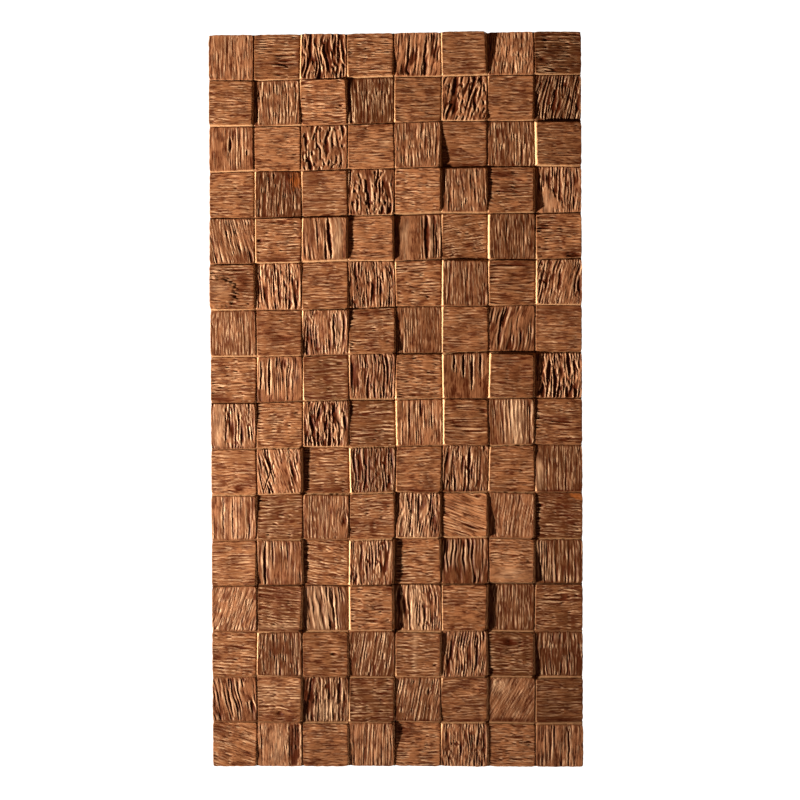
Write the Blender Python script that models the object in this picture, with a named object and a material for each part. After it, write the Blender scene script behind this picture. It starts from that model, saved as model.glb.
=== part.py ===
"""A cast polyurethane wall panel, in the form of a mosaic of rough sawn wood blocks.

Metres, +Z up. The flat back lies on the plane y = 0 with its centre at the origin, and the blocks face -Y.
The panel is one casting, so the faces of the blocks, the grooves between them, the sides and the back
make one closed surface. Heights are measured from the back, towards -Y.
"""

import math
import random

import bmesh
import bpy

# Driving dimensions
PANEL_WIDTH = 0.600
PANEL_HEIGHT = 1.184
BLOCK_SIZE = 0.075  # side of a block; each way, the panel has the whole number of them that comes closest
LOWEST_FACE = 0.0165  # height of the middle of a level 0 block's face
LEVEL_STEP = 0.0015  # one level in the map of levels
STRONG_LEAN = 0.0020  # how far a strongly leaning face rises at its proud edge
SLIGHT_LEAN = 0.0011
JOINT_DEPTH = 0.0026  # of the groove between two blocks, below the lower one's edge
JOINT_HALF_WIDTH = 0.0003  # flat share of the groove on each side of its line
JOINT_END = 0.0030  # length over which a groove drops to the point where four blocks meet
JOINT_WANDER = 0.0012  # how far that point strays by chance from its line
WALL_DRAFT = 0.28  # slope of a block's wall: its run for each unit of its depth
SIDE_DRAFT = 0.03  # the same on the four sides of the panel
SIDE_WANDER = 0.0006  # how far the panel's sides stray inward at the blocks
CORNER_PULL = 0.0015  # how far the panel's four corners are drawn in, as their rounding

# Broad swells by which the lines of joints stray from an even grid, because the blocks were laid by eye. Each
# has its middle across and down the panel and its reach each way, as shares of the panel, and then how far it
# carries the lines: level lines downwards, upright lines to the right.
LEVEL_SWELLS = (
    (0.80, 0.27, 0.50, 0.30, -0.0066),
    (0.00, 0.58, 0.30, 0.20, 0.0034),
    (0.60, 0.92, 0.70, 0.20, 0.0026),
)
UPRIGHT_SWELLS = (
    (0.50, 1.00, 0.50, 0.35, -0.0046),
    (0.20, 0.10, 0.20, 0.20, -0.0022),
)

# How high each block stands, in levels, seen from the front with the top row first. A panel with more
# blocks repeats this map and the others.
LEVELS = (
    "33444744",
    "53423442",
    "43345215",
    "33456430",
    "55740022",
    "73322435",
    "44551201",
    "33454563",
    "42202433",
    "45033233",
    "54444433",
    "55362243",
    "55261402",
    "56424321",
    "44332333",
    "44431445",
)

# The edge that stands proud where a face leans: U or D for up or down, with a capital for a strong lean
UP_LEANS = (
    "dd.duUDD",
    "DdUdDDuU",
    "ddddDUuu",
    "d.u.u.du",
    "dd.dDddD",
    "u.D.uuUu",
    "dDUD.Uuu",
    "du.uddu.",
    "ud.d.uu.",
    "...u.UUd",
    "Ud.uDDuU",
    "dUuuuDdU",
    ".du.uuuu",
    ".u.u.d.U",
    "....dUUU",
    ".uuUduuU",
)

# The same from side to side: L or R for the left or the right edge
SIDE_LEANS = (
    "..LrrrRL",
    "rrr...rl",
    "rlr.r..L",
    ".LRrr.rR",
    "L.r..lLr",
    "l.rl.lLR",
    "..R.L.lR",
    "....LL.r",
    ".l..llrr",
    "r......r",
    "r..rRRRR",
    "rr.rrRRR",
    ".r..Rrrr",
    ".llrrrrR",
    "lRlr.RrL",
    ".r.rrRr.",
)

# The roughness of each face, by the letters of GRAINS below
GRAIN_MAP = (
    "fmvmsfmm",
    "fcmmfwfc",
    "sfvfmfmf",
    "fmfvmmlc",
    "cmcfsmfm",
    "bcfvcfcm",
    "ffcmffwf",
    "msfvmbfv",
    "cmvcmmms",
    "kvmcfsff",
    "smfmwcfm",
    "fslcmwmm",
    "cmcmvsfk",
    "mmfmmckm",
    "ckbmckff",
    "mmfsmwms",
)

# Facets across the grain and along it, the depth of the furrows between the ridges, and their sideways sway
GRAINS = {
    "f": (6, 2, 0.0003, 0.0004),  # fine
    "m": (8, 2, 0.0007, 0.0008),  # medium
    "c": (8, 3, 0.0012, 0.0012),  # coarse
    "v": (10, 3, 0.0019, 0.0012),  # very coarse
    "s": (8, 3, 0.0022, 0.0010),  # split
    "w": (10, 3, 0.0014, 0.0026),  # wavy
    "k": (6, 3, 0.0005, 0.0020),  # around a knot
    "b": (8, 3, 0.0012, 0.0008),  # broken off across the grain, to a step
    "l": (8, 2, 0.0008, 0.0008),  # split off along the grain, to a ledge
}
STEP_DEPTH = 0.0018  # drop of the broken end of a face
LEDGE_DEPTH = 0.0020  # drop of the split off side of a face
STEP_RUN = 0.06  # length of a step or ledge, as a share of the face
SPLIT_SHARE = 0.35  # share of a split face's furrows that go to the full depth
END_FULLNESS = 0.5  # depth of the furrows where they run out at the ends of a face, as a share

COLUMNS = round(PANEL_WIDTH / BLOCK_SIZE)
ROWS = round(PANEL_HEIGHT / BLOCK_SIZE)
BLOCK_WIDTH = PANEL_WIDTH / COLUMNS
BLOCK_HEIGHT = PANEL_HEIGHT / ROWS

LEAN_OF_LETTER = {
    "U": STRONG_LEAN,
    "u": SLIGHT_LEAN,
    "d": -SLIGHT_LEAN,
    "D": -STRONG_LEAN,
    "R": STRONG_LEAN,
    "r": SLIGHT_LEAN,
    "l": -SLIGHT_LEAN,
    "L": -STRONG_LEAN,
    ".": 0.0,
}

# The sides of a block, each with the way to its neighbour in rows and columns
SIDES = {"left": (0, -1), "right": (0, 1), "bottom": (1, 0), "top": (-1, 0)}
OPPOSITE = {"left": "right", "right": "left", "bottom": "top", "top": "bottom"}
UPRIGHT_SIDES = ("left", "right")


def empty_scene():
    for thing in list(bpy.data.objects):
        bpy.data.objects.remove(thing, do_unlink=True)


def wood_tone_material():
    """Satin brown paint over the polyurethane."""
    material = bpy.data.materials.new("painted_polyurethane")
    material.use_nodes = True
    shader = material.node_tree.nodes["Principled BSDF"]
    shader.inputs["Base Color"].default_value = (0.24, 0.10, 0.045, 1.0)
    shader.inputs["Roughness"].default_value = 0.55
    shader.inputs["Metallic"].default_value = 0.0
    return material


def on_panel(row, column):
    return 0 <= row < ROWS and 0 <= column < COLUMNS


def letter_at(plan, row, column):
    line = plan[row % len(plan)]
    return line[column % len(line)]


def face_height(row, column, u, v):
    """Height of a block's leaning face, without its grain, at a place from 0 to 1 across and up it."""
    level = int(letter_at(LEVELS, row, column))
    up_lean = LEAN_OF_LETTER[letter_at(UP_LEANS, row, column)]
    side_lean = LEAN_OF_LETTER[letter_at(SIDE_LEANS, row, column)]
    return LOWEST_FACE + level * LEVEL_STEP + (2 * v - 1) * up_lean + (2 * u - 1) * side_lean


def edge_place(side, along):
    """Place on a face of a point along one of its sides, counted up or to the right."""
    return {"left": (0.0, along), "right": (1.0, along), "bottom": (along, 0.0), "top": (along, 1.0)}[side]


def groove_height(row, column, side, along):
    """Height of the groove beside a block, a joint's depth under the lower of the two faces."""
    heights = [face_height(row, column, *edge_place(side, along))]
    down, over = SIDES[side]
    if on_panel(row + down, column + over):
        heights.append(face_height(row + down, column + over, *edge_place(OPPOSITE[side], along)))
    return min(heights) - JOINT_DEPTH


def stray(swells, across, down):
    """How far the swells carry a line of joints at a place on the panel."""
    return sum(
        far * math.exp(-(((across - at_x) / reach_x) ** 2) - ((down - at_y) / reach_y) ** 2)
        for at_x, at_y, reach_x, reach_y, far in swells
    )


def meeting_point(line, over_line):
    """The x, z and groove height where two grid lines meet, counted down and across from the top left."""
    heights = []
    for row, v in ((line - 1, 0.0), (line, 1.0)):
        for column, u in ((over_line - 1, 1.0), (over_line, 0.0)):
            if on_panel(row, column):
                heights.append(face_height(row, column, u, v))
    height = min(heights) - JOINT_DEPTH
    chance = random.Random(5000 + 100 * line + over_line)
    place = []
    outer_count = 0
    for index, count, pitch, swells in (
        (over_line, COLUMNS, BLOCK_WIDTH, UPRIGHT_SWELLS),
        (line, ROWS, BLOCK_HEIGHT, LEVEL_SWELLS),
    ):
        middle_out = (index - count / 2) * pitch
        if index in (0, count):
            inward = 1 if index == 0 else -1
            middle_out += inward * (SIDE_DRAFT * height + chance.uniform(0, SIDE_WANDER))
            outer_count += 1
        else:
            middle_out += stray(swells, over_line / COLUMNS, line / ROWS)
            middle_out += chance.uniform(-JOINT_WANDER, JOINT_WANDER)
        place.append(middle_out)
    if outer_count == 2:
        place = [along - CORNER_PULL * (1 if along > 0 else -1) for along in place]
    return place[0], -place[1], height


def furrow_lines(letter, chance):
    """The ridges and furrows across a face: for each line its place from 0 to 1, drop and sway."""
    facets, _, depth, sway = GRAINS[letter]
    lines = []
    for index in range(facets + 1):
        on_edge = index in (0, facets)
        furrow = index % 2 == 1
        place = index / facets
        if not on_edge:
            place += chance.uniform(-0.3, 0.3) / facets
        drop = chance.uniform(0.6, 1.0) if furrow else chance.uniform(0.0, 0.3)
        if letter == "s" and furrow and chance.random() > SPLIT_SHARE:
            drop *= 0.3
        shift = 0.0 if on_edge else chance.uniform(-1, 1) * sway / BLOCK_WIDTH
        lines.append((place, drop * depth, shift))
    if letter != "l":
        return lines
    brink = chance.uniform(0.6, 0.7)
    foot = brink + STEP_RUN
    kept = [line for line in lines if line[0] < brink - STEP_RUN]
    fallen = [(place, LEDGE_DEPTH + drop, shift) for place, drop, shift in lines if place > foot + STEP_RUN]
    return [*kept, (brink, 0.0, 0.0), (foot, LEDGE_DEPTH, 0.0), *fallen]


def stations_along(letter, chance):
    """Places along the grain, from 0 to 1, each with how far it drops and how full its furrows are."""
    count = GRAINS[letter][1]
    inner = [(index + chance.uniform(-0.25, 0.25)) / count for index in range(1, count)]
    stations = [(place, 0.0, chance.uniform(0.35, 1.0)) for place in inner]
    if letter == "b":
        brink = chance.uniform(0.4, 0.6)
        stations = [(brink, 0.0, 0.8), (brink + STEP_RUN, STEP_DEPTH, 0.5)]
    end_drop = STEP_DEPTH if letter == "b" else 0.0
    return [(0.0, 0.0, END_FULLNESS), *stations, (1.0, end_drop, END_FULLNESS)]


def inset_place(row, column, u, v, corners):
    """The x and z of a place on a face, which is held back from each side by the run of its wall."""
    insets = {}
    for side, (down, over) in SIDES.items():
        along = v if side in UPRIGHT_SIDES else u
        depth = face_height(row, column, *edge_place(side, along)) - groove_height(row, column, side, along)
        if on_panel(row + down, column + over):
            insets[side] = JOINT_HALF_WIDTH + WALL_DRAFT * depth
        else:
            insets[side] = SIDE_DRAFT * depth
    across = (insets["left"] + u * (BLOCK_WIDTH - insets["left"] - insets["right"])) / BLOCK_WIDTH
    up = (insets["bottom"] + v * (BLOCK_HEIGHT - insets["bottom"] - insets["top"])) / BLOCK_HEIGHT
    place = []
    for axis in (0, 1):
        lower = corners[0][axis] * (1 - across) + corners[1][axis] * across
        upper = corners[2][axis] * (1 - across) + corners[3][axis] * across
        place.append(lower * (1 - up) + upper * up)
    return place


def block_face(bm, row, column):
    """The grained face of one block, as a grid. Returns its rim: a chain of vertices for each side."""
    chance = random.Random(1000 * row + column)
    letter = letter_at(GRAIN_MAP, row, column)
    lines = furrow_lines(letter, chance)
    stations = stations_along(letter, chance)
    if chance.random() < 0.5:
        stations = [(1.0 - place, drop, fullness) for place, drop, fullness in reversed(stations)]
    upright = (row + column) % 2 == 0
    corners = [meeting_point(row + 1 - up, column + over)[:2] for up in (0, 1) for over in (0, 1)]
    last_line, last_station = len(lines) - 1, len(stations) - 1
    rim = {side: [] for side in SIDES}
    # The grid lists its vertices station by station
    grid = bmesh.ops.create_grid(bm, x_segments=last_line, y_segments=last_station, size=1)
    for index, vert in enumerate(grid["verts"]):
        station, line = divmod(index, len(lines))
        place, drop, sway = lines[line]
        along, station_drop, fullness = stations[station]
        across = place + (sway if 0 < station < last_station else 0.0)
        u, v = (across, along) if upright else (along, across)
        x, z = inset_place(row, column, u, v, corners)
        vert.co = (x, station_drop + drop * fullness - face_height(row, column, u, v), z)
        for side, reached in (("left", u == 0), ("right", u == 1), ("bottom", v == 0), ("top", v == 1)):
            if reached:
                rim[side].append((v if side in UPRIGHT_SIDES else u, vert))
    return {side: sorted(chain, key=lambda member: member[0]) for side, chain in rim.items()}


def groove_line(bm, row, column, side, start, end):
    """The bottom of the groove beside a block, with two points at its depth between the meeting points."""
    length = BLOCK_HEIGHT if side in UPRIGHT_SIDES else BLOCK_WIDTH
    points = [(0.0, start)]
    for along in (JOINT_END / length, 1 - JOINT_END / length):
        co = start.co.lerp(end.co, along)
        co.y = -groove_height(row, column, side, along)
        points.append((along, bm.verts.new(co)))
    return [*points, (1.0, end)]


def loft(bm, upper, lower):
    """Triangles between two chains, each of pairs of a place along the chain and a vertex."""
    i = j = 0
    while i < len(upper) - 1 or j < len(lower) - 1:
        if j == len(lower) - 1 or (i < len(upper) - 1 and upper[i + 1][0] <= lower[j + 1][0]):
            bm.faces.new((upper[i][1], upper[i + 1][1], lower[j][1]))
            i += 1
        else:
            bm.faces.new((upper[i][1], lower[j + 1][1], lower[j][1]))
            j += 1


def back_verts(bm):
    """The grid of the flat back, under the meeting points, with the panel's corners drawn in."""
    backs = {}
    for line in range(ROWS + 1):
        for over_line in range(COLUMNS + 1):
            x = over_line * BLOCK_WIDTH - PANEL_WIDTH / 2
            z = PANEL_HEIGHT / 2 - line * BLOCK_HEIGHT
            if line in (0, ROWS) and over_line in (0, COLUMNS):
                x -= CORNER_PULL if x > 0 else -CORNER_PULL
                z -= CORNER_PULL if z > 0 else -CORNER_PULL
            backs[line, over_line] = bm.verts.new((x, 0.0, z))
    return backs


def meeting_verts(bm):
    meetings = {}
    for line in range(ROWS + 1):
        for over_line in range(COLUMNS + 1):
            x, z, height = meeting_point(line, over_line)
            meetings[line, over_line] = bm.verts.new((x, -height, z))
    return meetings


def cast_surface(bm):
    """Faces, grooves, sides and back of the whole panel."""
    meetings = meeting_verts(bm)
    backs = back_verts(bm)
    grooves = {}
    for row in range(ROWS):
        for column in range(COLUMNS):
            rim = block_face(bm, row, column)
            ends = {
                "left": ((row + 1, column), (row, column)),
                "right": ((row + 1, column + 1), (row, column + 1)),
                "bottom": ((row + 1, column), (row + 1, column + 1)),
                "top": ((row, column), (row, column + 1)),
            }
            for side, (start, end) in ends.items():
                down, over = SIDES[side]
                if on_panel(row + down, column + over):
                    if (start, end) not in grooves:
                        meeting = (meetings[start], meetings[end])
                        grooves[start, end] = groove_line(bm, row, column, side, *meeting)
                    loft(bm, rim[side], grooves[start, end])
                else:
                    loft(bm, rim[side], [(0.0, meetings[start]), (1.0, meetings[end])])
                    bm.faces.new((meetings[start], meetings[end], backs[end], backs[start]))
            bm.faces.new([backs[corner] for corner in (*ends["left"], *reversed(ends["right"]))])
    bmesh.ops.recalc_face_normals(bm, faces=bm.faces)


def build_panel():
    empty_scene()
    collection = bpy.data.collections.new("polyurethane_wall_panel")
    bpy.context.scene.collection.children.link(collection)
    bm = bmesh.new()
    cast_surface(bm)
    mesh = bpy.data.meshes.new("wall_panel")
    bm.to_mesh(mesh)
    bm.free()
    panel = bpy.data.objects.new("wall_panel", mesh)
    panel.data.materials.append(wood_tone_material())
    collection.objects.link(panel)


build_panel()
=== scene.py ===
"""Looks of the cast polyurethane wall panel: its wood grain relief, its paint, and a plain studio.

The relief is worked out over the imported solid. The place, level and lean of each block and the bottoms of the
grooves are read from the frame, and the grain of each face is carved from noise that runs along the wood.
A place on a block is given in millimetres as it shows from the front: x from its left, y down from its top.
"""

import math
import random
from dataclasses import dataclass

import bpy
import numpy as np
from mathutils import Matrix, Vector


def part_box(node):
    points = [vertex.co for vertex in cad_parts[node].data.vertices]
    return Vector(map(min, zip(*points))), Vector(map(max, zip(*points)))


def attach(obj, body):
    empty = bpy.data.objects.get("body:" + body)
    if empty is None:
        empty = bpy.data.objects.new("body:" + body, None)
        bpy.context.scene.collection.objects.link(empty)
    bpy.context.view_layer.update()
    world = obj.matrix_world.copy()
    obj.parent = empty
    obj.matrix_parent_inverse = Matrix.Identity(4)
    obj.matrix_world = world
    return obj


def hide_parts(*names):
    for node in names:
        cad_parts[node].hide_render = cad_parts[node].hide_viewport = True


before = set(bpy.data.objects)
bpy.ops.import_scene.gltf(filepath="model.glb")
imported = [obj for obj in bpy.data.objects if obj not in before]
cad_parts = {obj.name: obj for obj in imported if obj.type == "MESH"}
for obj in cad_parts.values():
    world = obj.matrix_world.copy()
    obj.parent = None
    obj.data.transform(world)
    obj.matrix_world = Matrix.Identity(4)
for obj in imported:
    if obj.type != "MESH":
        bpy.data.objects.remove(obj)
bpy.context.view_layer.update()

MM = 0.001

# The mosaic
ROWS = 16
COLUMNS = 8
SECTION_BLOCKS = 4  # blocks along each side of a section of the panel, which is one piece of the scene

# Mesh of one block's face
CELLS_ACROSS = 88  # across the grain
CELLS_ALONG = 37
RIM_LINES_MM = (0.0, 0.25, 0.6, 1.1)  # lines that round the rim, as distances from it
GROOVE_CELLS = 40  # along the bottom of the groove beside one block
SIDE_LEVELS = (0.3, 0.55, 0.8)  # rows of points down the panel's sides, as shares of the way to the back

# Form of the joints, as on the solid
JOINT_DEPTH_MM = 2.6
JOINT_HALF_WIDTH_MM = 0.3
WALL_DRAFT = 0.28  # slope of a block's wall: its run for each unit of its depth
SIDE_DRAFT = 0.03
JOINT_WANDER_MM = 1.35  # how far from its line the meeting of the grooves is looked for
CORNER_REACH_MM = 9.0  # how far in from there the corner of a face is looked for

# Form of the rims and grooves, finer than on the solid
RIM_RADIUS_MM = 0.95
RIM_WANDER_MM = 0.55
WANDER_REACH_MM = 4.0  # how far into the face the rim's wander is felt
CORNER_ROUNDING = 0.028  # share of a block's half width by which its corners are drawn in
SIDE_INSET_MM = 0.3  # how far the rims are held in along the panel's own sides
GROOVE_WANDER_MM = 0.3
GROOVE_END = 0.04  # share of a groove over which it passes to the depth of its end
LEAST_RISE_MM = 0.4  # least height of a face over the grooves round it
SIDE_FADE_MM = 5.0  # how far in from the sides of the grain the carving grows to its full depth
END_FADE_MM = 4.0  # the same from the ends of the grain
OUTLINE_REACH_MM = 4.0  # how near the panel's outline a point belongs to its side
SIDE_DIP_MM = 0.25  # how far in from an even slope the panel's sides lie
SIDE_WANDER_MM = 0.3  # how far they stray from there
FOOT_CHAMFER_MM = 1.5  # how far the back's corners are drawn in
BARE_REACH_MM = 1.1  # how far a bare rim reaches into the face
BARE_STEP_MM = 3.5  # step down to the next block at which a rim is at its barest
MEAN_CELLS = 9  # cells over which the height round a point is averaged, to tell hollows from ridges

# Broad swells by which the lines of joints stray from an even grid, as on the solid. Each has its middle
# across and down the panel and its reach each way, as shares of the panel, and then how many millimetres it
# carries the lines: level lines downwards, upright lines to the right.
LEVEL_SWELLS = (
    (0.80, 0.27, 0.50, 0.30, -6.6),
    (0.00, 0.58, 0.30, 0.20, 3.4),
    (0.60, 0.92, 0.70, 0.20, 2.6),
)
UPRIGHT_SWELLS = (
    (0.50, 1.00, 0.50, 0.35, -4.6),
    (0.20, 0.10, 0.20, 0.20, -2.2),
)


@dataclass
class Grain:
    """How one kind of face is carved. Lengths and depths are in millimetres."""

    fibre: float  # depth of the fine fibres
    groove: float  # gap between long thin grooves
    groove_depth: float
    pit_depth: float  # depth of the short lens-shaped pits
    contrast: float  # how strongly its hollows are glazed and its ridges lightened by worn paint and painted highlight
    net: float = 0.0  # gap between the thin ridges that stand round the hollows of a coarse face
    net_depth: float = 0.0
    ridge: float = 0.05  # how thick those ridges are
    sway: float = 1.0  # how far the grain wanders from side to side
    length: float = 1.0  # how long its lines run, as a share of the usual


GRAINS = {
    "f": Grain(0.32, 3.4, 0.85, 0.80, 0.75),
    "m": Grain(0.42, 4.0, 1.35, 1.60, 0.95, sway=1.2),
    "c": Grain(0.45, 3.2, 0.60, 0.50, 1.00, net=4.9, net_depth=2.1, sway=2.0, length=0.8),
    "v": Grain(0.40, 3.2, 0.60, 0.00, 1.00, net=7.0, net_depth=3.4, sway=3.0, length=0.6),
    "b": Grain(0.42, 3.4, 0.70, 0.00, 1.00, net=10.5, net_depth=3.6, ridge=0.22, sway=3.0, length=0.8),
    "s": Grain(0.36, 5.0, 1.60, 0.60, 0.85, sway=1.2, length=1.6),
    "w": Grain(0.30, 8.5, 3.00, 0.00, 0.80, sway=3.5),
}

# The kind of each face, by the letters of GRAINS, with the top row first. Where row and column add up to an
# even number the grain is upright.
GRAIN_MAP = (
    "fmvmwfmm",
    "fmmmfbfc",
    "sfbfmfmf",
    "fmfbmmmc",
    "mmsfsmfm",
    "mcfcmfsc",
    "ffcmffwf",
    "msfcmffv",
    "cmvmsssm",
    "fcmcfcff",
    "smfmcsfm",
    "fsmcmwms",
    "mmwmcffm",
    "mmfmmcmm",
    "wmcmmfff",
    "mmfsmcms",
)

# A block's number is 100 times its row plus its column, both counted from 0 at the top left.

# How far the grain leans on some blocks: its sideways run for each unit along it
LEANS = {
    4: -0.1, 6: -0.08, 105: -0.22, 107: -0.2, 301: -0.05, 400: 0.22, 402: 0.1, 405: -0.16, 507: -0.22,
    606: -0.22, 901: 0.22, 904: -0.05, 1004: -0.08, 1005: 0.36, 1006: -0.12, 1007: 0.1, 1102: 0.12,
    1200: -0.32, 1201: 0.14, 1202: 0.12, 1300: 0.08, 1303: -0.16, 1305: -0.1, 1400: 0.2, 1404: -0.18,
    1406: -0.55, 1500: 0.24, 1503: -0.06,
}

# Blocks whose paint stands out from the rest, by how light it is from 0 to 1 and a little beyond. The whole
# bottom row is among the lighter ones as painted light, making up for the lamp lighting it less.
TONED_BLOCKS = {
    -0.4: (103, 107, 301, 903, 1107, 1307),
    -0.1: (7, 702, 803, 907, 1001, 1007, 1105, 1201, 1202, 1206, 1301, 1303, 1306, 1402, 1403),
    0.15: (206, 406, 505, 600, 806, 905, 1002, 1101, 1207, 1407),
    0.8: (0, 407, 503, 704, 804, 901, 1106, 1203, 1501, 1502, 1503, 1505, 1507),
    1.15: (2, 4, 6, 102, 105, 201, 203, 304, 307, 403, 501, 707, 1005, 1500, 1504, 1506),
}

# Marks on single blocks: for each its kind and then its sizes, in the order in which carve_face and
# carve_mark take them. Lengths and depths are in millimetres. Of the marks that darken the paint, the ones
# along the whole bottom rim of a block are painted shadow, such as a higher block below would cast; so are
# the one at the left of block 1402 and the one right of the flake on block 500. The others are soot and
# dark patches of the paint. The pale marks lighten the ridges: partly light worn paint, partly painted
# highlight where they catch the light.
MARKS = {
    1: "split 47 50 38 5 2.4, split 24 34 24 2 1.2, split 40 14 22 2 1, soot 46 50 30 8 0.6",
    4: "split 22 40 70 5 2.8, split 34 48 52 2.5 1.6, split 50 34 62 5.5 3",
    7: "knot 12 48 4 1.4, soot 12 50 10 5 0.8, pale 22 48 6 3 0.9",
    101: "split 38 14 18 3 1.8, split 8 24 22 3 1.8", 102: "soot 34 30 20 8 0.5",
    106: "crack 14 52 34 1 1, dent 34 6 5 3 0.8",
    200: "split 36 30 28 7 2.8, split 64 44 12 4 2.2, smooth 18 40 14 50 0.6",
    203: "soot 16 14 16 8 0.6, pale 60 34 8 6 0.9", 205: "soot 40 72 40 3 0.8", 300: "dent 44 26 3 2 1.2",
    301: "stain 66 16 9 14 0.5, soot 62 12 16 22 0.7, soot 36 40 60 60 0.25",
    302: "split 36 32 60 1.2 0.7, soot 16 20 12 7 0.5, soot 18 50 14 7 0.5",
    306: "ledge 20 0.05 1.6, ledge 52 -0.04 -1, split 40 40 70 2.5 1.6, soot 26 12 22 6 0.9, "
        "soot 40 36 26 8 0.5",
    307: "smooth 16 58 20 22 0.9, soot 60 40 10 40 0.4, pale 16 58 14 18 0.5",
    400: "soot 64 60 14 18 0.5", 401: "soot 40 66 34 6 0.5, soot 37 73 40 3 0.8",
    402: "split 46 36 84 9 3.4, split 40 60 40 6 2.6, smooth 60 36 10 60 0.7, pale 60 36 7 36 0.8",
    404: "smooth 20 40 22 60 0.9, split 52 38 90 12 2.2, split 68 46 60 4 2, pale 16 40 8 40 0.4, "
        "soot 52 30 7 30 0.8",
    405: "ledge 24 -0.16 1.2, ledge 40 -0.16 1, ledge 58 -0.16 0.8",
    407: "split 10 24 34 5 2.6, ledge 30 0.02 -1, dent 66 72 14 5 2.4, soot 60 68 18 7 0.9, "
        "soot 12 22 10 4 0.8",
    500: "flake 14 46 31 26 2.8, smooth 14 46 28 24 0.7, split 40 8 64 3 1.4, soot 60 30 12 24 0.6, "
        "soot 44 20 12 8 0.5, pale 16 40 18 14 0.4, split 18 38 30 2.5 1.2, split 12 60 26 2 1",
    503: "soot 14 40 16 40 0.4", 504: "split 56 36 24 3 2, split 36 8 30 2.4 1.8, split 50 56 26 2.5 1.6",
    506: "split 30 8 60 4 2.2, soot 40 8 36 6 0.9, pale 36 12 14 2 0.9",
    507: "split 8 34 60 5 2.4, smooth 50 40 12 40 0.6, dent 72 42 5 12 2, soot 70 42 6 16 0.9",
    601: "soot 20 36 10 6 0.7, soot 50 48 14 6 0.7, soot 36 40 60 60 0.2",
    602: "split 52 34 66 5 3, split 6 62 28 6 2.6, smooth 34 30 14 26 0.5, soot 14 56 14 20 0.7, "
        "pale 58 36 5 30 0.7",
    603: "soot 36 8 34 5 0.7", 604: "split 16 38 80 1.5 1, smooth 50 38 26 44 0.4",
    607: "soot 36 8 36 8 0.6", 700: "soot 10 66 18 8 0.7",
    701: "split 20 32 64 6 3.2, split 6 30 46 4 2.6, knot 46 12 5 1.6",
    702: "dent 62 14 5 3 1.2, dent 44 56 4 3 0.8", 703: "soot 40 40 40 40 0.35",
    705: "smooth 36 58 44 24 0.95, split 18 14 34 5 2.4, split 34 18 46 6 3, split 48 30 66 6 3, "
        "split 62 16 40 5 2.6",
    706: "soot 36 30 34 30 0.3", 707: "break 42 1.6",
    800: "smooth 14 40 12 60 0.8, pale 14 40 8 50 0.4, soot 37 73 40 2 0.6", 802: "pale 60 40 4 50 0.7",
    805: "split 36 36 90 2.2 1.6, split 40 56 80 1.8 1.2", 806: "pale 44 40 12 50 0.6",
    807: "split 42 38 36 4 2.4, soot 36 34 20 5 0.9",
    900: "crack 24 36 90 0.9 0.9, knot 52 66 7 0.7, soot 50 60 16 10 0.5",
    901: "split 22 26 66 4 2.6, slash 20 44 60 3 2.4, smooth 44 40 14 40 0.6", 902: "soot 36 70 36 5 0.7",
    903: "soot 36 36 40 40 0.4", 904: "soot 37 72 40 3 0.9",
    905: "split 44 36 90 6 3, smooth 60 36 12 40 0.4, soot 37 73 40 2.5 0.8",
    906: "soot 37 73 40 2.5 0.8", 907: "smooth 8 40 8 36 0.9, pale 6 44 5 24 0.8, soot 37 73 40 2.5 0.8",
    1000: "split 20 38 90 2 1.6, split 36 38 90 2.2 1.6, smooth 20 40 30 50 0.5", 1002: "knot 68 44 5 2",
    1003: "soot 30 50 24 8 0.6, soot 60 16 12 7 0.7", 1004: "soot 66 50 8 24 0.8, pale 24 40 22 40 0.4",
    1005: "dent 60 5 5 3 1.6, soot 20 14 16 6 0.5",
    1007: "stain 68 6 10 6 0.6, dent 6 20 6 3 2, soot 40 30 40 30 0.35", 1101: "split 13 40 90 7 3",
    1102: "ledge 40 0.14 1.4, ledge 66 0.14 1.6",
    1106: "smooth 36 62 50 20 0.9, soot 30 12 20 5 0.6, pale 40 60 30 12 0.6",
    1201: "split 40 10 70 2.5 1.8, ledge 56 0.04 0.9, soot 36 14 36 14 0.6, pale 36 68 36 4 0.6, "
        "soot 37 73 40 3 0.8",
    1202: "pale 26 36 26 50 0.5, split 50 40 90 5 2.6", 1203: "dent 18 34 5 3 0.8",
    1204: "pale 32 40 13 60 0.6",
    1205: "crack 42 46 26 1 1, smooth 36 50 34 22 0.6, dent 28 66 8 2 0.8, soot 30 24 24 10 0.4",
    1207: "knot 44 20 8 0.9, ledge 66 0.06 0.8", 1300: "soot 8 40 10 8 0.7",
    1301: "soot 36 36 40 40 0.35", 1302: "dent 52 37 6 2 2.2, ledge 30 0.02 0.6",
    1304: "split 38 62 90 2 1.6, pale 32 30 5 40 0.5",
    1306: "knot 36 16 6 2, soot 30 20 24 12 0.7, pale 44 10 10 2 0.8", 1307: "soot 40 40 40 40 0.35",
    1400: "smooth 62 20 10 22 0.9, split 30 40 60 4 2.2",
    1401: "knot 38 60 5 2, soot 36 68 34 6 0.7, pale 30 30 30 16 0.3",
    1402: "break 40 2, pale 40 52 24 20 0.7, soot 6 36 6 50 0.8", 1404: "soot 37 73 40 2.5 0.8",
    1405: "knot 56 20 3.5 1.2, soot 37 72 40 3 0.8",
    1406: "knot 16 8 4 1.4, smooth 40 40 50 40 0.3, soot 36 71 40 4 0.9, pale 18 14 12 10 0.7",
    1407: "soot 36 71 40 4 0.9", 1500: "smooth 60 60 30 20 0.5, soot 14 12 24 12 0.7",
    1501: "dent 62 34 10 60 1.3, smooth 30 40 18 60 0.6, soot 60 34 8 40 0.5, pale 34 40 12 30 0.5",
    1504: "dent 8 14 14 8 0.8, soot 14 14 18 12 0.8", 1507: "split 52 36 90 4 2",
}


# Smooth noise

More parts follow.
